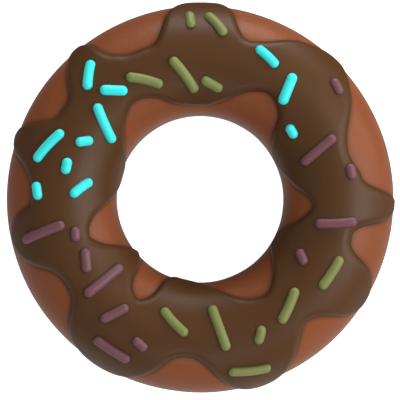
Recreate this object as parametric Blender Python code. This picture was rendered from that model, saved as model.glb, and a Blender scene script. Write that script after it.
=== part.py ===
# A ring doughnut with chocolate icing that has run down over it in drips.
# Metres, +Z up. The origin is the middle of the ring, on the surface it lies on.
#
# A place on the ring is given by two angles. The ring angle runs anticlockwise from +X, seen from above.
# The tube angle runs round the dough's section: 0 at the crest, 90 at the outside, -90 in the hole.
import math

import bmesh
import bpy
import numpy as np

MM = 0.001

# Dough: a round ring, a little flatter than it is wide, resting on a flattened underside.
OUTER_RADIUS = 45.0 * MM
HOLE_RADIUS = 19.4 * MM
CROWN_HEIGHT = 12.2 * MM      # crest above the widest line
BELLY_DEPTH = 12.4 * MM       # underside below the widest line, if it were not flattened
WAIST_HEIGHT = 11.2 * MM      # widest line above the surface
DOUGH_STEPS = 60              # facets round the ring
CROWN_STEPS = 12              # facets over the top of the section
BELLY_STEPS = 5               # facets down each side to the flat underside

RING_RADIUS = (OUTER_RADIUS + HOLE_RADIUS) / 2
TUBE_RADIUS = (OUTER_RADIUS - HOLE_RADIUS) / 2

# Icing: thick on the crest, thinner where it hangs over the sides, with a rounded lip.
CREST_THICKNESS = 1.35 * MM
SIDE_THICKNESS = 0.35 * MM    # where the tube is widest, as the mean of its two sides
OUTWARD_EXTRA = 0.10 * MM     # more at the outside, and as much less in the hole
LIP_WIDTH = 1.4 * MM          # over which the thickness rounds off to nothing
CLEARANCE = 0.30 * MM         # between the icing and the dough
ICING_STATIONS = 140          # sections round the ring
TOP_STEPS = 14                # facets over the top of each section
UNDER_STEPS = 10              # facets on its underside
STEEP_WEIGHT = 1.5            # how strongly the sections gather where an edge runs steeply

# The icing's two edges, one row a drip, as (ring angle, tube angle) in degrees: the foot of the drip,
# its flank where that is needed, its tip, and down the other side to the bay before the next drip.
OUTER_DRIPS = (
    ((350.5, 30), (354, 66), (358, 77), (361, 74), (363, 51), (365, 35), (370, 25), (377, 18)),
    ((384, 24), (395, 55), (405, 80), (418, 59), (428, 35), (433, 30)),
    ((438, 48), (440, 67), (444, 90), (450, 107), (456, 87), (460, 66), (464, 35), (472, 24)),
    ((479, 29), (483, 42), (486, 71), (489, 81), (492, 78), (497, 53), (502, 31), (507, 28)),
    ((512, 34), (515, 53), (518, 76), (521, 83), (525, 74), (529, 49), (533, 38), (541, 34)),
    ((545, 56), (552, 71), (559, 59), (566, 29), (572, 22)),
    ((579, 29), (585, 58), (591, 75), (599, 84), (606, 76), (613, 54), (620, 26), (625, 21)),
    ((633, 34), (637, 54), (641, 74), (648, 92), (655, 76), (661, 54), (666, 35), (671, 26)),
    ((678, 41), (682, 64), (688, 77), (697, 56), (701, 27), (705, 19)),
)
INNER_DRIPS = (
    ((-3, -28), (8, -52), (16, -65), (27, -75), (35, -68), (43, -43), (46, -29), (50, -20), (57, -14)),
    ((66, -23), (76, -41), (88, -53), (98, -51), (106, -44), (112, -33), (124, -23)),
    ((133, -32), (145, -57), (157, -86), (164, -96), (174, -79), (182, -57), (189, -35), (198, -24)),
    ((203, -32), (210, -56), (220, -88), (227, -63), (231, -35), (234, -27), (238, -23)),
    ((241, -28), (243, -35), (246, -63), (259, -85), (266, -80), (280, -58), (296, -31), (304, -25)),
    ((312, -34), (320, -54), (326, -73), (333, -76), (340, -71), (344, -55), (350, -38)),
)


def flowing_edge(drips, ring):
    """Tube angle of an edge at the ring angles, both in degrees.

    A cubic runs from point to point. Its slope at a point is the mean of the two chords beside it,
    weighted to the shorter one, and nought at the tips and bays, so the edge never overshoots them.
    """
    points = np.array([point for drip in drips for point in drip], float)
    order = np.concatenate((points[-2:] - (360, 0), points, points[:2] + (360, 0)))
    at, level = order.T
    step = np.diff(at)
    chord = np.diff(level) / step
    slope = np.zeros_like(at)
    turning = chord[:-1] * chord[1:] <= 0
    mean = (chord[:-1] * step[1:] + chord[1:] * step[:-1]) / (step[1:] + step[:-1])
    slope[1:-1] = np.where(turning, 0, mean)
    ring = (ring - points[0, 0]) % 360 + points[0, 0]
    i = np.searchsorted(at, ring, side="right") - 1
    t = (ring - at[i]) / step[i]
    rise = t * t * (3 - 2 * t)
    return (level[i] * (1 - rise) + level[i + 1] * rise
            + step[i] * t * (1 - t) * ((1 - t) * slope[i] - t * slope[i + 1]))


def edge_lean(drips, ring):
    """How far an edge runs along the tube for each step round the ring, as a ratio of lengths."""
    reach = 0.5
    change = flowing_edge(drips, ring + reach) - flowing_edge(drips, ring - reach)
    tube = np.radians(flowing_edge(drips, ring))
    return change * TUBE_RADIUS / (2 * reach * (RING_RADIUS + TUBE_RADIUS * np.sin(tube)))


def section_point(tube, lift):
    """Radius and height of a point lifted off the dough's section, square to it; tube angle in degrees."""
    tube = np.radians(tube)
    depth = np.where(np.cos(tube) < 0, BELLY_DEPTH, CROWN_HEIGHT)
    out, up = np.sin(tube) / TUBE_RADIUS, np.cos(tube) / depth
    length = np.hypot(out, up)
    return (RING_RADIUS + TUBE_RADIUS * np.sin(tube) + lift * out / length,
            WAIST_HEIGHT + depth * np.cos(tube) + lift * up / length)


def dough_section():
    """Closed section of the dough, as (radius, height) points: crown, outer side, underside, inner side."""
    flat_edge = math.degrees(math.acos(-WAIST_HEIGHT / BELLY_DEPTH))
    crown = np.linspace(-90, 90, CROWN_STEPS + 1)
    outer = np.linspace(90, flat_edge, BELLY_STEPS + 1)[1:]
    radius, height = section_point(np.concatenate((crown, outer, -outer[::-1])), 0)
    return list(zip(radius, height))


def icing_sections():
    """Every section of the icing, as arrays of ring angle, radius and height with one row a section.

    The sections lie closer together where either edge runs steeply. Over the top of a section the
    thickness goes from nothing at an edge to its full value in a quarter of an ellipse, whose width
    is measured square to the edge, so a steep flank has the same lip as a bay.
    """
    fine = np.linspace(0, 360, 3601)
    steep = np.abs(edge_lean(OUTER_DRIPS, fine)) + np.abs(edge_lean(INNER_DRIPS, fine))
    travel = np.concatenate(((0,), np.cumsum(1 + STEEP_WEIGHT * steep[:-1])))
    ring = np.interp(np.arange(ICING_STATIONS) / ICING_STATIONS, travel / travel[-1], fine)

    start, end = flowing_edge(INNER_DRIPS, ring), flowing_edge(OUTER_DRIPS, ring)
    gathered = (1 - np.cos(np.pi * np.arange(TOP_STEPS + 1) / TOP_STEPS)) / 2
    top = start[:, None] + (end - start)[:, None] * gathered
    even = np.arange(1, UNDER_STEPS) / UNDER_STEPS
    under = end[:, None] + (start - end)[:, None] * even

    thickness = (SIDE_THICKNESS + OUTWARD_EXTRA * np.sin(np.radians(top))
                 + (CREST_THICKNESS - SIDE_THICKNESS) * np.cos(np.radians(top)) ** 2)
    for drips, edge in ((INNER_DRIPS, start), (OUTER_DRIPS, end)):
        lip = LIP_WIDTH * np.hypot(1, edge_lean(drips, ring))[:, None]
        inset = np.radians(np.abs(top - edge[:, None])) * TUBE_RADIUS
        thickness = thickness * np.sqrt(1 - (1 - np.minimum(inset / lip, 1)) ** 2)
    tube = np.concatenate((top, under), axis=1)
    lift = CLEARANCE + np.concatenate((thickness, np.zeros_like(under)), axis=1)
    radius, height = section_point(tube, lift)
    return ring, radius, height


def material(name, color, roughness):
    made = bpy.data.materials.new(name)
    made.use_nodes = True
    shader = made.node_tree.nodes["Principled BSDF"]
    shader.inputs["Base Color"].default_value = (*color, 1)
    shader.inputs["Roughness"].default_value = roughness
    return made


def finish(mesh, surface):
    """Shade and paint a mesh, and put it in the scene under its name, with its faces cut the short way."""
    mesh.shade_smooth()
    mesh.set_sharp_from_angle(angle=math.radians(20))
    mesh.materials.append(surface)
    made = bpy.data.objects.new(mesh.name, mesh)
    made.modifiers.new("short diagonals", "TRIANGULATE").quad_method = "SHORTEST_DIAGONAL"
    bpy.context.scene.collection.objects.link(made)


def make_dough():
    """The dough is its section, spun once round the upright axis."""
    bm = bmesh.new()
    corners = [bm.verts.new((radius, 0, height)) for radius, height in dough_section()]
    sides = [bm.edges.new(pair) for pair in zip(corners, corners[1:] + corners[:1])]
    bmesh.ops.spin(bm, geom=corners + sides, cent=(0, 0, 0), axis=(0, 0, 1),
                   angle=2 * math.pi, steps=DOUGH_STEPS, use_merge=True)
    bmesh.ops.recalc_face_normals(bm, faces=bm.faces)
    mesh = bpy.data.meshes.new("dough")
    bm.to_mesh(mesh)
    bm.free()
    finish(mesh, material("fried dough", (0.36, 0.12, 0.05), 0.55))


def make_icing():
    """The icing is a grid of its sections, closed both round the ring and round the section."""
    ring, radius, height = icing_sections()
    turn = np.radians(ring)[:, None]
    points = np.stack((radius * np.cos(turn), radius * np.sin(turn), height), axis=-1)
    sections, corners = radius.shape
    number = np.arange(sections * corners).reshape(sections, corners)
    along, around = np.roll(number, -1, axis=0), np.roll(number, -1, axis=1)
    quads = np.stack((number, around, np.roll(around, -1, axis=0), along), axis=-1)
    mesh = bpy.data.meshes.new("icing")
    mesh.from_pydata(points.reshape(-1, 3).tolist(), [], quads.reshape(-1, 4).tolist())
    finish(mesh, material("chocolate icing", (0.085, 0.042, 0.022), 0.4))


for old in list(bpy.data.objects):
    bpy.data.objects.remove(old)
make_dough()
make_icing()
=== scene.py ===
import math

import bpy
import numpy as np
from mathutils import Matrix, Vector


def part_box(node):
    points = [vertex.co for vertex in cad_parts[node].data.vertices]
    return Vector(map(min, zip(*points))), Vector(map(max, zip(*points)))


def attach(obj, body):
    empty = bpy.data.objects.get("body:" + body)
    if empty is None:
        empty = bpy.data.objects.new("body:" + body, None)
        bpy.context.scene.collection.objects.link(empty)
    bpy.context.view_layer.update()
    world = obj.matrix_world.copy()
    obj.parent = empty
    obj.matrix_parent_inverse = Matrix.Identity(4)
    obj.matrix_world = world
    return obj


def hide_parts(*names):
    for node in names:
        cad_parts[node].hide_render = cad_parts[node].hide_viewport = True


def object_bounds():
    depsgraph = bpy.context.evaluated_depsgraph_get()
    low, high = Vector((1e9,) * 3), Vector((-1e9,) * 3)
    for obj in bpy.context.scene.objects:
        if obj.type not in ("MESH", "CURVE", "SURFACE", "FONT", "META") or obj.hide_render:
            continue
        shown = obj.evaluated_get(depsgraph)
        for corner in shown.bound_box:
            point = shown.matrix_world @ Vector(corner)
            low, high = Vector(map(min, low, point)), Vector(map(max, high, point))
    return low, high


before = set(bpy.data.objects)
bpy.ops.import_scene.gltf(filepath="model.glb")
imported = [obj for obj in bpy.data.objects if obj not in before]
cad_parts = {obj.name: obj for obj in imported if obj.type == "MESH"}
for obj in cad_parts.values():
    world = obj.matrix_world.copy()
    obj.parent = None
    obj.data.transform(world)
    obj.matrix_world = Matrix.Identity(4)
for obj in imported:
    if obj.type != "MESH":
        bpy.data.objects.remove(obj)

# A frosted ring doughnut: fried dough, chocolate icing that has run down in drips, sugar sprinkles.
# A place on the ring is a ring angle, anticlockwise from +X, and a tube angle round the dough's
# section: 0 at the crest, 90 at the outside, -90 in the hole. Both are in degrees, lengths in metres.
mm = 0.001
cadLow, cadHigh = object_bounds()
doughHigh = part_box("dough")[1]


def addPiece(name, points, faces, material):
    # a mesh from arrays, shaded smooth, riding on the doughnut's one body
    mesh = bpy.data.meshes.new(name)
    mesh.from_pydata(points.tolist(), [], faces)
    mesh.shade_smooth()
    mesh.materials.append(material)
    piece = bpy.data.objects.new(name, mesh)
    bpy.context.scene.collection.objects.link(piece)
    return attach(piece, "root")


def giveValues(piece, name, values):
    # one number for each point, which the piece's material reads by this name
    attribute = piece.data.attributes.new(name, "FLOAT", "POINT")
    attribute.data.foreach_set("value", values.astype(np.float32).ravel())


def smoothFall(distance, reach):
    # 1 at no distance, easing down to 0 at the reach
    t = np.clip(distance / reach, 0, 1)
    return 1 - t * t * (3 - 2 * t)


def ringFaces(rows, columns):
    # quads of a grid that closes on itself both ways, facing out when the columns
    # run from the hole over the crest to the outside
    at = np.arange(rows * columns).reshape(rows, columns)
    along, around = np.roll(at, -1, axis=0), np.roll(at, -1, axis=1)
    return np.stack((at, around, np.roll(around, -1, axis=0), along), axis=-1).reshape(-1, 4).tolist()


def addNode(tree, kind, x, y, **settings):
    node = tree.nodes.new(kind)
    node.location = (x, y)
    for name, value in settings.items():
        setattr(node, name, value)
    return node


def newGroup(name, inputs, outputs):
    # an empty node group with named sockets, given as (name, socket type, default)
    group = bpy.data.node_groups.new(name, "ShaderNodeTree")
    for label, kind, value in inputs:
        socket = group.interface.new_socket(label, in_out="INPUT", socket_type=kind)
        socket.default_value = value
    for label, kind in outputs:
        group.interface.new_socket(label, in_out="OUTPUT", socket_type=kind)
    start = addNode(group, "NodeGroupInput", -900, 0)
    end = addNode(group, "NodeGroupOutput", 500, 0)
    return group, start, end


def placeGroup(tree, group, x, y, **values):
    node = addNode(tree, "ShaderNodeGroup", x, y, node_tree=group)
    for name, value in values.items():
        node.inputs[name].default_value = value
    return node


# what all three finishes share
finish = {
    "patchDetail": 3,             # octaves of each noise
    "speckDetail": 4,
    "reliefDetail": 3,
    "speckShare": 0.35,           # of the fine noise in the mottle
    "noiseMean": 0.5,             # which the contrast spreads the mottle about
    "reliefUnit": 1.0 * mm,       # what a depth of 1 stands for
}


def mottleGroup():
    # two colours in cloudy patches: broad noise and a finer one are averaged, spread and used to mix
    group, start, end = newGroup(
        "cloudy mottle",
        (("Light", "NodeSocketColor", (1, 1, 1, 1)), ("Dark", "NodeSocketColor", (0, 0, 0, 1)),
         ("Patch Scale", "NodeSocketFloat", 100.0), ("Speck Scale", "NodeSocketFloat", 600.0),
         ("Contrast", "NodeSocketFloat", 2.0)),
        (("Color", "NodeSocketColor"), ("Mask", "NodeSocketFloat")))
    where = addNode(group, "ShaderNodeTexCoord", -900, -300)
    broad = addNode(group, "ShaderNodeTexNoise", -650, 100)
    broad.inputs["Detail"].default_value = finish["patchDetail"]
    fine = addNode(group, "ShaderNodeTexNoise", -650, -200)
    fine.inputs["Detail"].default_value = finish["speckDetail"]
    both = addNode(group, "ShaderNodeMix", -420, 0)
    both.inputs["Factor"].default_value = finish["speckShare"]
    centred = addNode(group, "ShaderNodeMath", -240, 0, operation="SUBTRACT")
    centred.inputs[1].default_value = finish["noiseMean"]
    spread = addNode(group, "ShaderNodeMath", -80, 0, operation="MULTIPLY")
    mask = addNode(group, "ShaderNodeMath", 80, 0, operation="ADD", use_clamp=True)
    mask.inputs[1].default_value = finish["noiseMean"]
    mix = addNode(group, "ShaderNodeMix", 260, 0, data_type="RGBA")
    join = group.links.new
    join(where.outputs["Object"], broad.inputs["Vector"])
    join(where.outputs["Object"], fine.inputs["Vector"])
    join(start.outputs["Patch Scale"], broad.inputs["Scale"])
    join(start.outputs["Speck Scale"], fine.inputs["Scale"])
    join(broad.outputs["Fac"], both.inputs["A"])
    join(fine.outputs["Fac"], both.inputs["B"])
    join(both.outputs["Result"], centred.inputs[0])
    join(centred.outputs[0], spread.inputs[0])
    join(start.outputs["Contrast"], spread.inputs[1])
    join(spread.outputs[0], mask.inputs[0])
    join(mask.outputs[0], mix.inputs["Factor"])
    join(start.outputs["Light"], mix.inputs["A"])
    join(start.outputs["Dark"], mix.inputs["B"])
    join(mix.outputs["Result"], end.inputs["Color"])
    join(mask.outputs[0], end.inputs["Mask"])
    return group


def reliefGroup():
    # fine relief of a set or fried surface: a soft swell under a fine grain, turned into a normal
    group, start, end = newGroup(
        "fine relief",
        (("Swell Scale", "NodeSocketFloat", 150.0), ("Swell Depth", "NodeSocketFloat", 1.0),
         ("Grain Scale", "NodeSocketFloat", 1500.0), ("Grain Depth", "NodeSocketFloat", 1.0)),
        (("Normal", "NodeSocketVector"),))
    where = addNode(group, "ShaderNodeTexCoord", -900, -300)
    height = addNode(group, "ShaderNodeMath", -200, 0, operation="ADD")
    bump = addNode(group, "ShaderNodeBump", 50, 0)
    bump.inputs["Distance"].default_value = finish["reliefUnit"]
    join = group.links.new
    for socket, (label, y) in enumerate((("Swell", 150), ("Grain", -150))):
        noise = addNode(group, "ShaderNodeTexNoise", -650, y)
        noise.inputs["Detail"].default_value = finish["reliefDetail"]
        deep = addNode(group, "ShaderNodeMath", -420, y, operation="MULTIPLY")
        join(where.outputs["Object"], noise.inputs["Vector"])
        join(start.outputs[label + " Scale"], noise.inputs["Scale"])
        join(noise.outputs["Fac"], deep.inputs[0])
        join(start.outputs[label + " Depth"], deep.inputs[1])
        join(deep.outputs[0], height.inputs[socket])
    join(height.outputs[0], bump.inputs["Height"])
    join(bump.outputs["Normal"], end.inputs["Normal"])
    return group


def paintedShadeGroup():
    # painted shade where two parts meet: a colour that turns to a darker one there, by the mesh's own
    # contact value
    group, start, end = newGroup(
        "painted contact shade",
        (("Color", "NodeSocketColor", (1, 1, 1, 1)), ("Stain", "NodeSocketColor", (0, 0, 0, 1)),
         ("Strength", "NodeSocketFloat", 0.5)),
        (("Color", "NodeSocketColor"),))
    contact = addNode(group, "ShaderNodeAttribute", -650, -100, attribute_name="contact")
    amount = addNode(group, "ShaderNodeMath", -400, -100, operation="MULTIPLY", use_clamp=True)
    mix = addNode(group, "ShaderNodeMix", 0, 0, data_type="RGBA")
    join = group.links.new
    join(contact.outputs["Fac"], amount.inputs[0])
    join(start.outputs["Strength"], amount.inputs[1])
    join(amount.outputs[0], mix.inputs["Factor"])
    join(start.outputs["Color"], mix.inputs["A"])
    join(start.outputs["Stain"], mix.inputs["B"])
    join(mix.outputs["Result"], end.inputs["Color"])
    return group


cloudyMottle = mottleGroup()
fineRelief = reliefGroup()
contactStain = paintedShadeGroup()
print("shared finishes ready")


dough = {
    "outerRadius": doughHigh.x + 0.05 * mm,    # a hair fuller than the solid, which has flat facets
    "holeRadius": 19.35 * mm,
    "waistHeight": 11.2 * mm,     # the widest line, above the surface
    "bellyDepth": 12.4 * mm,      # underside below the waist, before it is flattened
    "crestHeight": doughHigh.z,
    "ringSteps": 640,
    "tubeSteps": 150,
    "unevenness": 0.06 * mm,
    "roughness": 0.42,
    "specular": 0.26,
    "lightCrust": (0.30, 0.085, 0.0285, 1),
    "darkCrust": (0.26, 0.0725, 0.0240, 1),
    "mottle": {"Patch Scale": 90.0, "Speck Scale": 700.0, "Contrast": 2.2},
    "relief": {"Swell Scale": 260.0, "Swell Depth": 0.10, "Grain Scale": 1400.0, "Grain Depth": 0.05},
    "paleBand": (0.30, 0.17, 0.11, 1),
    "bandHalfHeight": 6.5 * mm,
    "bandStrength": 0.4,
    "paintedShadeColor": (0.09, 0.026, 0.011, 1),    # painted shade on the dough along the icing's edge, where the lip shades it
    "paintedShadeReach": 1.0 * mm,
    "paintedShadeStrength": 0.55,
}
# the dough's slow waves: how often round the ring and round the tube, phase, share
doughWaves = (
    (3, 1, 0.9, 0.30),
    (5, 2, 2.1, 0.22),
    (8, 1, 4.0, 0.20),
    (11, 3, 5.2, 0.16),
    (17, 4, 1.3, 0.12),
)
ringRadius = (dough["outerRadius"] + dough["holeRadius"]) / 2
tubeRadius = (dough["outerRadius"] - dough["holeRadius"]) / 2
crownHeight = dough["crestHeight"] - dough["waistHeight"]


def sectionPoint(tube, lift):
    # radius and height of a point lifted off the section, square to it. The section is half an
    # ellipse above the waist and half a deeper one below: (sin tube, cos tube) times its half axes.
    tube = np.radians(tube)
    depth = np.where(np.cos(tube) < 0, dough["bellyDepth"], crownHeight)
    out, up = np.sin(tube) / tubeRadius, np.cos(tube) / depth
    length = np.hypot(out, up)
    return (ringRadius + tubeRadius * np.sin(tube) + lift * out / length,
            dough["waistHeight"] + depth * np.cos(tube) + lift * up / length)


def doughWave(ring, tube):
    # a sum of cosines that close on themselves both ways, at most 1
    ring, tube = np.radians(ring), np.radians(tube)
    return sum(share * np.cos(around * ring + turn * tube + phase)
               for around, turn, phase, share in doughWaves)


def doughMaterial():
    # mottled crust, paler in a band round the waist, where the dough floated above the fat:
    # the band's share falls smoothly with the height above or below the waist
    material = bpy.data.materials.new("fried dough")
    material.use_nodes = True
    tree, join = material.node_tree, material.node_tree.links.new
    shader = tree.nodes["Principled BSDF"]
    shader.inputs["Roughness"].default_value = dough["roughness"]
    shader.inputs["Specular IOR Level"].default_value = dough["specular"]
    crust = placeGroup(tree, cloudyMottle, -700, 200, Light=dough["lightCrust"],
                       Dark=dough["darkCrust"], **dough["mottle"])
    where = addNode(tree, "ShaderNodeTexCoord", -1300, -200)
    split = addNode(tree, "ShaderNodeSeparateXYZ", -1100, -200)
    away = addNode(tree, "ShaderNodeMath", -920, -200, operation="SUBTRACT")
    away.inputs[1].default_value = dough["waistHeight"]
    size = addNode(tree, "ShaderNodeMath", -760, -200, operation="ABSOLUTE")
    fade = addNode(tree, "ShaderNodeMapRange", -600, -200, interpolation_type="SMOOTHSTEP")
    fade.inputs["From Max"].default_value = dough["bandHalfHeight"]
    fade.inputs["To Min"].default_value = dough["bandStrength"]
    fade.inputs["To Max"].default_value = 0.0
    banded = addNode(tree, "ShaderNodeMix", -350, 150, data_type="RGBA")
    banded.inputs["B"].default_value = dough["paleBand"]
    # painted shade on the dough along the icing's edge
    paintedShading = placeGroup(tree, contactStain, -150, 150, Stain=dough["paintedShadeColor"],
                         Strength=dough["paintedShadeStrength"])
    relief = placeGroup(tree, fineRelief, -350, -300, **dough["relief"])
    join(where.outputs["Object"], split.inputs[0])
    join(split.outputs["Z"], away.inputs[0])
    join(away.outputs[0], size.inputs[0])
    join(size.outputs[0], fade.inputs["Value"])
    join(crust.outputs["Color"], banded.inputs["A"])
    join(fade.outputs["Result"], banded.inputs["Factor"])
    join(banded.outputs["Result"], paintedShading.inputs["Color"])
    join(paintedShading.outputs["Color"], shader.inputs["Base Color"])
    join(relief.outputs["Normal"], shader.inputs["Normal"])
    return material


def makeDough():
    # the section, carried once round the ring; it swells a little, and rests on its flattened underside
    ring = np.linspace(0, 360, dough["ringSteps"], endpoint=False)[:, None]
    tube = np.linspace(-180, 180, dough["tubeSteps"], endpoint=False)[None, :]
    free = np.clip(1 + np.cos(np.radians(tube)), 0, 1)    # none underneath
    radius, height = sectionPoint(tube, dough["unevenness"] * free * doughWave(ring, tube))
    height = np.maximum(height, 0)
    turn = np.radians(ring)
    points = np.stack((radius * np.cos(turn), radius * np.sin(turn), height), axis=-1)
    piece = addPiece("fried_dough", points.reshape(-1, 3), ringFaces(*radius.shape), doughMaterial())
    # how far each point is past the icing's edges, for the painted shade beside them
    pastOuter = edgeDistance(outerDrips, ring[:, 0], tube)
    pastInner = -edgeDistance(innerDrips, ring[:, 0], tube)
    giveValues(piece, "contact", smoothFall(np.maximum(pastOuter, pastInner), dough["paintedShadeReach"]))
    return piece


icing = {
    "crestThickness": 1.35 * mm,
    "sideThickness": 0.42 * mm,
    "outwardExtra": 0.15 * mm,    # more at the outside, as much less in the hole
    "clearance": 0.30 * mm,       # of the solid sheet over the dough, filled here
    "sunk": 0.10 * mm,            # how far its lip reaches into the dough's skin
    "lipSpread": 1.5,             # how wide its lip is for its thickness there
    "lipFullness": 0.7,           # 0.5 for a lip like a quarter of an ellipse, 1 for a flatter one
    "searchAngle": 6.0,           # how far round the ring the nearest part of an edge is looked for
    "ringSteps": 900,
    "topSteps": 88,
    "underSteps": 12,
    "smoothRoughness": 0.38,
    "dullRoughness": 0.48,
    "specular": 0.29,
    "lightBrown": (0.099, 0.039, 0.0093, 1),
    "darkBrown": (0.092, 0.035, 0.0079, 1),
    "mottle": {"Patch Scale": 70.0, "Speck Scale": 900.0, "Contrast": 1.6},
    "relief": {"Swell Scale": 120.0, "Swell Depth": 0.12, "Grain Scale": 2200.0, "Grain Depth": 0.012},
    "paintedShadeColor": (0.022, 0.009, 0.0035, 1),    # painted shade along its lip and round each sprinkle
    "paintedShadeStrength": 0.3,
    # how far the painted shade reaches from the lip and from a sprinkle's side, and its share round a
    # sprinkle
    "lipShade": 0.75 * mm,
    "sprinkleShade": 0.60 * mm,
    "sprinkleStain": 0.4,
}
# one row a drip, as (ring angle, tube angle): the foot of the drip, its flank, its tip,
# and down the other side to the bay before the next
outerDrips = (
    ((350.5, 30), (354, 66), (358, 77), (361, 74), (363, 51), (365, 35), (370, 25), (377, 18)),
    ((384, 24), (395, 55), (405, 80), (418, 59), (428, 35), (433, 30)),
    ((438, 48), (440, 67), (444, 90), (450, 107), (456, 87), (460, 66), (464, 35), (472, 24)),
    ((479, 29), (483, 42), (486, 71), (489, 81), (492, 78), (497, 53), (502, 31), (507, 28)),
    ((512, 34), (515, 53), (518, 76), (521, 83), (525, 74), (529, 49), (533, 38), (541, 34)),
    ((545, 56), (552, 71), (559, 59), (566, 29), (572, 22)),
    ((579, 29), (585, 58), (591, 75), (599, 84), (606, 76), (613, 54), (620, 26), (625, 21)),
    ((633, 34), (637, 54), (641, 74), (648, 92), (655, 76), (661, 54), (666, 35), (671, 26)),
    ((678, 41), (682, 64), (688, 77), (697, 56), (701, 27), (705, 19)),
)
innerDrips = (
    ((-3, -28), (8, -52), (16, -65), (27, -75), (35, -68), (43, -43), (46, -29), (50, -20), (57, -14)),
    ((66, -23), (76, -41), (88, -53), (98, -51), (106, -44), (112, -33), (124, -23)),
    ((133, -32), (145, -57), (157, -86), (164, -96), (174, -79), (182, -57), (189, -35), (198, -24)),
    ((203, -32), (210, -56), (220, -88), (227, -63), (231, -35), (234, -27), (238, -23)),
    ((241, -28), (243, -35), (246, -63), (259, -85), (266, -80), (280, -58), (296, -31), (304, -25)),
    ((312, -34), (320, -54), (326, -73), (333, -76), (340, -71), (344, -55), (350, -38)),
)


def flowingEdge(drips, ring):
    # tube angle of an edge: a cubic runs from point to point. Its slope at a point is the mean of the
    # two chords beside it, weighted to the shorter one, and nought at the tips and bays.
    points = np.array([point for drip in drips for point in drip], float)
    order = np.concatenate((points[-2:] - (360, 0), points, points[:2] + (360, 0)))
    at, level = order.T
    step = np.diff(at)
    chord = np.diff(level) / step
    mean = (chord[:-1] * step[1:] + chord[1:] * step[:-1]) / (step[1:] + step[:-1])
    slope = np.zeros_like(at)
    slope[1:-1] = np.where(chord[:-1] * chord[1:] <= 0, 0, mean)
    ring = (ring - points[0, 0]) % 360 + points[0, 0]
    i = np.searchsorted(at, ring, side="right") - 1
    t = (ring - at[i]) / step[i]
    rise = t * t * (3 - 2 * t)
    return (level[i] * (1 - rise) + level[i + 1] * rise
            + step[i] * t * (1 - t) * ((1 - t) * slope[i] - t * slope[i + 1]))


def edgeDistance(drips, ring, tube):
    # the shortest way over the dough from each place to an edge, taken as short straight pieces:
    # a place is set against the pieces up to the search angle either way. More than 0 outside it.
    girth = ringRadius + tubeRadius * np.sin(np.radians(tube))
    ringStep = ring[1] - ring[0]
    steps = round(icing["searchAngle"] / ringStep)
    shortest = np.inf
    for turn in np.arange(-steps, steps) * ringStep:
        near, far = (np.radians(flowingEdge(drips, ring + turn + ahead)[:, None] - tube) * tubeRadius
                     for ahead in (0, ringStep))
        across, rise = np.radians(ringStep) * girth, far - near
        begin = np.radians(turn) * girth
        share = np.clip(-(begin * across + near * rise) / (across ** 2 + rise ** 2), 0, 1)
        shortest = np.minimum(shortest, (begin + share * across) ** 2 + (near + share * rise) ** 2)
    return np.sign(tube - flowingEdge(drips, ring)[:, None]) * np.sqrt(shortest)


def icingThickness(tube):
    # thick on the crest, thinning with the square of the cosine to the sides
    side = icing["sideThickness"] + icing["outwardExtra"] * np.sin(np.radians(tube))
    return side + (icing["crestThickness"] - icing["sideThickness"]) * np.cos(np.radians(tube)) ** 2


def icingMaterial():
    # mottled brown with the same mottle in its sheen, and painted shade where it meets what it touches
    material = bpy.data.materials.new("chocolate icing")
    material.use_nodes = True
    tree, join = material.node_tree, material.node_tree.links.new
    shader = tree.nodes["Principled BSDF"]
    shader.inputs["Specular IOR Level"].default_value = icing["specular"]
    brown = placeGroup(tree, cloudyMottle, -600, 200, Light=icing["lightBrown"],
                       Dark=icing["darkBrown"], **icing["mottle"])
    satin = addNode(tree, "ShaderNodeMapRange", -350, 0)
    satin.inputs["To Min"].default_value = icing["smoothRoughness"]
    satin.inputs["To Max"].default_value = icing["dullRoughness"]
    # painted shade along the lip and round the sprinkles
    paintedShading = placeGroup(tree, contactStain, -350, 250, Stain=icing["paintedShadeColor"],
                         Strength=icing["paintedShadeStrength"])
    relief = placeGroup(tree, fineRelief, -350, -300, **icing["relief"])
    join(brown.outputs["Color"], paintedShading.inputs["Color"])
    join(paintedShading.outputs["Color"], shader.inputs["Base Color"])
    join(brown.outputs["Mask"], satin.inputs["Value"])
    join(satin.outputs["Result"], shader.inputs["Roughness"])
    join(relief.outputs["Normal"], shader.inputs["Normal"])
    return material


def icingContact(points, fromEdge):
    # how much painted shade each point takes: 1 where the icing meets the dough, less where it meets a
    # sprinkle, easing to 0 beside either.
    # A sprinkle is met within its radius of its centre line, as seen from above.
    contact = smoothFall(fromEdge, icing["lipShade"]).ravel()
    for place in cyanPlaces + greenPlaces + mauvePlaces:
        line = sprinkleLine(place, sprinkle["radius"])[0][:, :2]
        gap = np.linalg.norm(points[:, None, :2] - line[None], axis=2).min(axis=1) - sprinkle["radius"]
        contact = np.maximum(contact, icing["sprinkleStain"] * smoothFall(gap, icing["sprinkleShade"]))
    return contact


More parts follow.
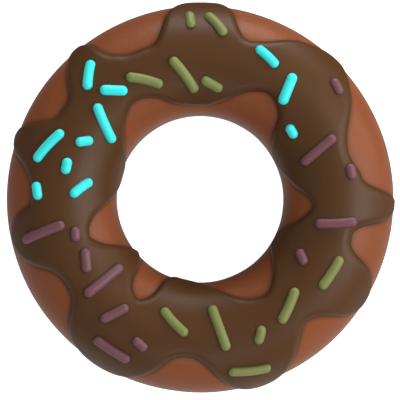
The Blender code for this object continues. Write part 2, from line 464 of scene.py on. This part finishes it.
def makeIcing():
    # a sheet over the dough between its two edges. Each section runs over the top, close together
    # near the lips, and back underneath. Across a lip the thickness grows as 1 - (1 - part)^2, raised
    # to the lip's fullness, where the part goes from 0 at the edge to 1 at the lip's width inside it.
    ring = np.linspace(0, 360, icing["ringSteps"], endpoint=False)
    start, end = flowingEdge(innerDrips, ring), flowingEdge(outerDrips, ring)
    gathered = (1 - np.cos(np.pi * np.arange(icing["topSteps"] + 1) / icing["topSteps"])) / 2
    top = start[:, None] + (end - start)[:, None] * gathered
    even = np.arange(1, icing["underSteps"]) / icing["underSteps"]
    under = end[:, None] + (start - end)[:, None] * even
    tube = np.concatenate((top, under), axis=1)
    fromInner, fromOuter = edgeDistance(innerDrips, ring, tube), -edgeDistance(outerDrips, ring, tube)
    thickness = icingThickness(top) + icing["clearance"] + icing["sunk"]
    lip = icing["lipSpread"] * thickness
    for inset in (fromInner, fromOuter):
        part = np.clip(inset[:, :top.shape[1]] / lip, 0, 1)
        thickness = thickness * (1 - (1 - part) ** 2) ** icing["lipFullness"]
    lift = np.concatenate((thickness, np.zeros_like(under)), axis=1) - icing["sunk"]
    radius, height = sectionPoint(tube, lift)
    turn = np.radians(ring)[:, None]
    points = np.stack((radius * np.cos(turn), radius * np.sin(turn), height), axis=-1).reshape(-1, 3)
    piece = addPiece("chocolate_icing", points, ringFaces(*radius.shape), icingMaterial())
    fromEdge = np.minimum(np.abs(fromInner), np.abs(fromOuter))
    # painted shade by the lip and round the sprinkles
    giveValues(piece, "contact", icingContact(points, fromEdge))
    return piece


sprinkle = {
    "radius": 1.19 * mm,
    "sunk": 0.05 * mm,            # its centre line below the icing's surface
    "follows": 0.5,               # how far its middle follows the curve of the icing, from 0 to 1
    "widestTube": 85.0,           # how far out and in the icing's surface is read, as a tube angle
    "tubeStep": 0.25,
    "slopeReach": 0.5,            # either side of a point, for the icing's slope there
    "bodySteps": 12,
    "roundSteps": 24,
    "capSteps": 8,
    "thicknessSpread": 0.04,
    "seed": 5,
    "roughness": 0.45,
    "specular": 0.4,
    "mottle": {"Patch Scale": 250.0, "Speck Scale": 1800.0, "Contrast": 1.5},
    "relief": {"Swell Scale": 500.0, "Swell Depth": 0.03, "Grain Scale": 4000.0, "Grain Depth": 0.01},
    "cyan": ((0.055, 1.0, 0.97), (0.05, 0.98, 0.94)),    # the lighter and the darker of each sugar
    "green": ((0.245, 0.272, 0.082), (0.215, 0.24, 0.07)),
    "mauve": ((0.205, 0.083, 0.100), (0.178, 0.069, 0.084)),
    "foot": 0.60,                 # painted shade at its foot, as a share of its own colour, where it meets the icing
    "footRise": 0.50,             # how far up its side this reaches, from 0 at its widest to 1 on top
}
# each row is one sprinkle: ring angle, distance from the middle in mm, heading in degrees,
# length in mm, and how far its middle bows to its left in mm
cyanPlaces = (
    (131.8, 38.7, 82, 7.1, 0.1), (128.4, 32.3, 178, 6.5, 0.0), (141.5, 28.4, 114, 10.0, 0.15),
    (160.5, 37.3, 47, 9.7, 0.2), (153.4, 30.1, 8, 4.2, 0.0), (166.0, 32.0, 78, 3.9, 0.0),
    (174.5, 27.8, 37, 6.3, 0.1), (177.0, 37.9, 98, 4.3, 0.0), (64.9, 36.6, 137, 6.7, -0.1),
    (51.6, 32.7, 68, 7.8, 0.0), (36.6, 26.5, 121, 3.6, 0.0),
)
greenPlaces = (
    (93.2, 41.7, 98, 4.2, 0.0), (115.1, 30.5, 167, 8.9, -0.2), (97.5, 29.2, 127, 10.0, -0.2),
    (84.9, 40.8, 132, 7.0, -0.15), (84.3, 26.9, 152, 5.6, 0.0), (258.0, 29.1, 133, 8.6, 0.2),
    (330.7, 34.8, 57, 9.0, -0.15), (309.7, 32.1, 66, 9.1, -0.15), (293.8, 34.4, 75, 4.5, -0.1),
    (278.4, 30.2, 110, 11.2, 0.0), (286.2, 41.2, 6, 10.0, -0.2),
)
mauvePlaces = (
    (39.6, 41.1, 118, 4.3, 0.0), (22.6, 29.8, 40, 10.2, 0.0), (10.3, 35.6, 102, 3.9, 0.0),
    (191.9, 37.1, 22, 10.7, 0.1), (195.6, 30.1, 95, 3.6, 0.0), (208.2, 30.1, 96, 5.8, 0.0),
    (220.1, 29.3, 39, 11.2, 0.0), (233.1, 33.1, 27, 7.3, 0.0), (239.5, 40.4, 147, 9.9, 0.1),
    (247.4, 36.4, 139, 4.1, 0.0), (350.2, 32.0, 3, 9.8, -0.15), (330.4, 27.1, 114, 4.1, 0.0),
)


def icingTop(tube):
    # radius and height of the icing's upper surface, away from its lips
    return sectionPoint(tube, icing["clearance"] + icingThickness(tube))


def icingSurface(x, y):
    # the point of the icing's upper surface above a point of the plan, and its normal there. The
    # plan's radius gives the tube angle, read off a fine scale, and two points beside it the slope.
    reach = math.hypot(x, y)
    steps = round(2 * sprinkle["widestTube"] / sprinkle["tubeStep"])
    scale = np.linspace(-sprinkle["widestTube"], sprinkle["widestTube"], steps + 1)
    tube = np.interp(reach, icingTop(scale)[0], scale)
    ahead, behind = icingTop(tube + sprinkle["slopeReach"]), icingTop(tube - sprinkle["slopeReach"])
    steep = math.atan((ahead[1] - behind[1]) / (ahead[0] - behind[0]))
    normal = np.array((-math.sin(steep) * x / reach, -math.sin(steep) * y / reach, math.cos(steep)))
    return np.array((x, y, float(icingTop(tube)[1]))), normal


def sprinkleLine(place, radius):
    # the centre line of a rod, from one cap's centre to the other: a parabola through the two, bowed
    # sideways, and bent down to follow part of the icing's curve. Also its upward direction.
    ringAngle, distance, heading, length, bow = place
    turn, way = math.radians(ringAngle), math.radians(heading)
    middle = distance * mm * np.array((math.cos(turn), math.sin(turn)))
    ahead = np.array((math.cos(way), math.sin(way)))
    sideways = bow * mm * np.array((-ahead[1], ahead[0], 0))
    half = length * mm / 2 - radius
    ends = []
    for side in (-1, 1):
        point, normal = icingSurface(*(middle + side * half * ahead))
        ends.append(point - sprinkle["sunk"] * normal)
    point, up = icingSurface(*middle)
    chord, straight = (ends[1] - ends[0]) / 2, (ends[0] + ends[1]) / 2
    hump = np.dot(point - sprinkle["sunk"] * up - straight, up)
    crest = straight + up * hump * (1 + sprinkle["follows"]) / 2 + sideways
    sag = up * hump * sprinkle["follows"] + sideways
    t = np.linspace(-1, 1, sprinkle["bodySteps"] + 1)[:, None]
    return crest + chord * t - sag * t ** 2, chord - 2 * sag * t, up


def sprinkleMesh(place, radius):
    # a rod with round ends: circles square to the centre line, whose radius follows a quarter of
    # a circle over each cap, and a point at each tip. Also how high up the rod each point is, from
    # -1 to 1, and the number of circles.
    line, tangent, up = sprinkleLine(place, radius)
    tangent = tangent / np.linalg.norm(tangent, axis=1, keepdims=True)
    cap = np.linspace(0, np.pi / 2, sprinkle["capSteps"] + 1)[1:-1]
    capOut, capGirth = radius * np.cos(cap)[:, None], radius * np.sin(cap)
    line = np.concatenate((line[0] - tangent[0] * capOut, line, line[-1] + tangent[-1] * capOut[::-1]))
    girth = np.concatenate((capGirth, np.full(len(tangent), radius), capGirth[::-1]))
    tangent = np.concatenate((np.repeat(tangent[:1], len(cap), 0), tangent,
                              np.repeat(tangent[-1:], len(cap), 0)))
    across = np.cross(tangent, up)
    across /= np.linalg.norm(across, axis=1, keepdims=True)
    over = np.cross(across, tangent)
    angle = np.linspace(0, 2 * np.pi, sprinkle["roundSteps"], endpoint=False)
    spoke = across[:, None] * np.cos(angle)[:, None] + over[:, None] * np.sin(angle)[:, None]
    circles = (line[:, None] + girth[:, None, None] * spoke).reshape(-1, 3)
    beyond = radius - capOut[0]
    tips = np.stack((line[0] - tangent[0] * beyond, line[-1] + tangent[-1] * beyond))
    rise = (girth[:, None] / radius * np.sin(angle)).ravel()
    points = np.concatenate((tips[:1], circles, tips[1:]))
    return points, np.concatenate(((0,), rise, (0,))), len(line)


def sprinkleFaces(circles, first):
    # quads along the rod and a fan of triangles at each end, from its first point's number on
    across = sprinkle["roundSteps"]
    at = first + 1 + np.arange(circles * across).reshape(circles, across)
    beside = np.roll(at, -1, axis=1)
    last = first + circles * across + 1
    quads = np.stack((at[:-1], beside[:-1], beside[1:], at[1:]), axis=-1).reshape(-1, 4)
    start = np.stack((np.full(across, first), beside[0], at[0]), axis=-1)
    end = np.stack((np.full(across, last), at[-1], beside[-1]), axis=-1)
    return quads.tolist() + start.tolist() + end.tolist()


def sugarMaterial(name, light, dark):
    # mottled sugar, with painted shade at the foot
    material = bpy.data.materials.new(name)
    material.use_nodes = True
    tree, join = material.node_tree, material.node_tree.links.new
    shader = tree.nodes["Principled BSDF"]
    shader.inputs["Roughness"].default_value = sprinkle["roughness"]
    shader.inputs["Specular IOR Level"].default_value = sprinkle["specular"]
    tint = placeGroup(tree, cloudyMottle, -500, 200, Light=(*light, 1), Dark=(*dark, 1),
                      **sprinkle["mottle"])
    foot = placeGroup(tree, contactStain, -250, 250, Strength=1.0)
    # painted shade: the sugar's darker colour, dimmed by the foot's share
    foot.inputs["Stain"].default_value = (*(sprinkle["foot"] * share for share in dark), 1)
    relief = placeGroup(tree, fineRelief, -500, -200, **sprinkle["relief"])
    join(tint.outputs["Color"], foot.inputs["Color"])
    join(foot.outputs["Color"], shader.inputs["Base Color"])
    join(relief.outputs["Normal"], shader.inputs["Normal"])
    return material


def makeSprinkles(name, places, material, rng):
    # every sprinkle of one colour, each a little thicker or thinner, joined as one piece
    points, rises, faces, count = [], [], [], 0
    for place in places:
        radius = sprinkle["radius"] * (1 + sprinkle["thicknessSpread"] * rng.uniform(-1, 1))
        mesh, rise, circles = sprinkleMesh(place, radius)
        points.append(mesh)
        rises.append(rise)
        faces += sprinkleFaces(circles, count)
        count += len(mesh)
    piece = addPiece(name, np.concatenate(points), faces, material)
    # painted shade low on each rod, where it meets the icing
    giveValues(piece, "contact", smoothFall(np.concatenate(rises), sprinkle["footRise"]))


friedDough = makeDough()
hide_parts("dough")
print("dough made")
chocolateIcing = makeIcing()
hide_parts("icing")
print("icing made")
rng = np.random.default_rng(sprinkle["seed"])
makeSprinkles("cyan_sprinkles", cyanPlaces,
              sugarMaterial("cyan sugar", *sprinkle["cyan"]), rng)
makeSprinkles("green_sprinkles", greenPlaces,
              sugarMaterial("green sugar", *sprinkle["green"]), rng)
makeSprinkles("mauve_sprinkles", mauvePlaces,
              sugarMaterial("mauve sugar", *sprinkle["mauve"]), rng)
print("sprinkles made")


studio = {
    "floorSize": 8.0,
    "floorGap": 0.1 * mm,         # under the doughnut
    "floorColor": (0.8, 0.8, 0.8, 1),
    "floorRoughness": 0.9,
    "floorGlow": 1.0,             # as the camera sees it
    "airColor": (1, 1, 1, 1),
    "ambient": 0.36,              # the room above the floor
    "lowBack": 0.06,              # and below it, behind and in front of the doughnut
    "lowFront": 0.75,
    "lowTurn": 0.6,               # how far along Y the one turns to the other
    "horizon": 0.15,              # how far up and down the room's two halves blend
    "lightDistance": 1.8,
    "viewWidth": 93.2 * mm,       # seen across the frame at the waist's height
    "lens": 1350.0,
    "aim": (-0.05 * mm, -0.15 * mm),
    "farthest": 10.0,             # that the camera still sees
}
# name, azimuth and elevation in degrees, width and height in metres, watts; all at one distance
softLights = (
    ("key", -3, 44, 1.44, 1.26, 20.0),
    ("back", 82, 5, 1.38, 0.78, 21.2),
    ("side", 18, 9, 1.20, 0.48, 5.2),
    ("front", 270, 45, 0.75, 0.45, 2.9),
)


def makeFloor():
    # a plain pale sheet that is seen, while the doughnut's light comes past it, as on a glass table
    half, low = studio["floorSize"] / 2, cadLow.z - studio["floorGap"]
    mesh = bpy.data.meshes.new("floor")
    corners = [(-half, -half, low), (half, -half, low), (half, half, low), (-half, half, low)]
    mesh.from_pydata(corners, [], [(0, 1, 2, 3)])
    material = bpy.data.materials.new("pale floor")
    material.use_nodes = True
    shader = material.node_tree.nodes["Principled BSDF"]
    shader.inputs["Base Color"].default_value = studio["floorColor"]
    shader.inputs["Roughness"].default_value = studio["floorRoughness"]
    shader.inputs["Emission Color"].default_value = (1, 1, 1, 1)
    shader.inputs["Emission Strength"].default_value = studio["floorGlow"]
    mesh.materials.append(material)
    floor = bpy.data.objects.new("floor", mesh)
    floor.visible_diffuse = False
    floor.visible_glossy = False
    floor.visible_shadow = False
    bpy.context.scene.collection.objects.link(floor)


def makeRoom():
    # light from all round: even above the horizon, and below it stronger in front than behind
    world = bpy.data.worlds.new("studio air")
    world.use_nodes = True
    tree, join = world.node_tree, world.node_tree.links.new
    where = addNode(tree, "ShaderNodeTexCoord", -1100, 0)
    split = addNode(tree, "ShaderNodeSeparateXYZ", -900, 0)
    low = addNode(tree, "ShaderNodeMapRange", -700, -150, interpolation_type="SMOOTHSTEP")
    low.inputs["From Min"].default_value = studio["lowTurn"]
    low.inputs["From Max"].default_value = -studio["lowTurn"]
    low.inputs["To Min"].default_value = studio["lowBack"]
    low.inputs["To Max"].default_value = studio["lowFront"]
    above = addNode(tree, "ShaderNodeMapRange", -700, 150, interpolation_type="SMOOTHSTEP")
    above.inputs["From Min"].default_value = -studio["horizon"]
    above.inputs["From Max"].default_value = studio["horizon"]
    room = addNode(tree, "ShaderNodeMix", -400, 0)
    room.inputs["B"].default_value = studio["ambient"]
    background = tree.nodes["Background"]
    background.inputs["Color"].default_value = studio["airColor"]
    join(where.outputs["Object"], split.inputs[0])
    join(split.outputs["Y"], low.inputs["Value"])
    join(split.outputs["Z"], above.inputs["Value"])
    join(above.outputs["Result"], room.inputs["Factor"])
    join(low.outputs["Result"], room.inputs["A"])
    join(room.outputs["Result"], background.inputs["Strength"])
    bpy.context.scene.world = world


def makeLights():
    # oblong softboxes on a sphere round the doughnut, all facing its middle and none of them seen
    for name, azimuth, elevation, width, height, watts in softLights:
        light = bpy.data.lights.new(name, "AREA")
        light.shape = "RECTANGLE"
        light.size, light.size_y = width, height
        light.energy = watts
        softbox = bpy.data.objects.new(name, light)
        softbox.visible_camera = False
        turn, rise = math.radians(azimuth), math.radians(elevation)
        place = Vector((math.cos(turn) * math.cos(rise), math.sin(turn) * math.cos(rise), math.sin(rise)))
        softbox.location = place * studio["lightDistance"]
        softbox.rotation_euler = (-place).to_track_quat("-Z", "Y").to_euler()
        bpy.context.scene.collection.objects.link(softbox)


def makeCamera():
    # straight above the doughnut, as far off as its lens has to be to see the view's width
    lens = bpy.data.cameras.new("camera")
    lens.lens = studio["lens"]
    lens.clip_end = studio["farthest"]
    away = studio["viewWidth"] / lens.sensor_width * lens.lens
    camera = bpy.data.objects.new("camera", lens)
    camera.location = (*studio["aim"], dough["waistHeight"] + away)
    bpy.context.scene.collection.objects.link(camera)
    bpy.context.scene.camera = camera


makeFloor()
makeRoom()
makeLights()
makeCamera()
bpy.context.scene.view_settings.view_transform = "Standard"
print("studio made")
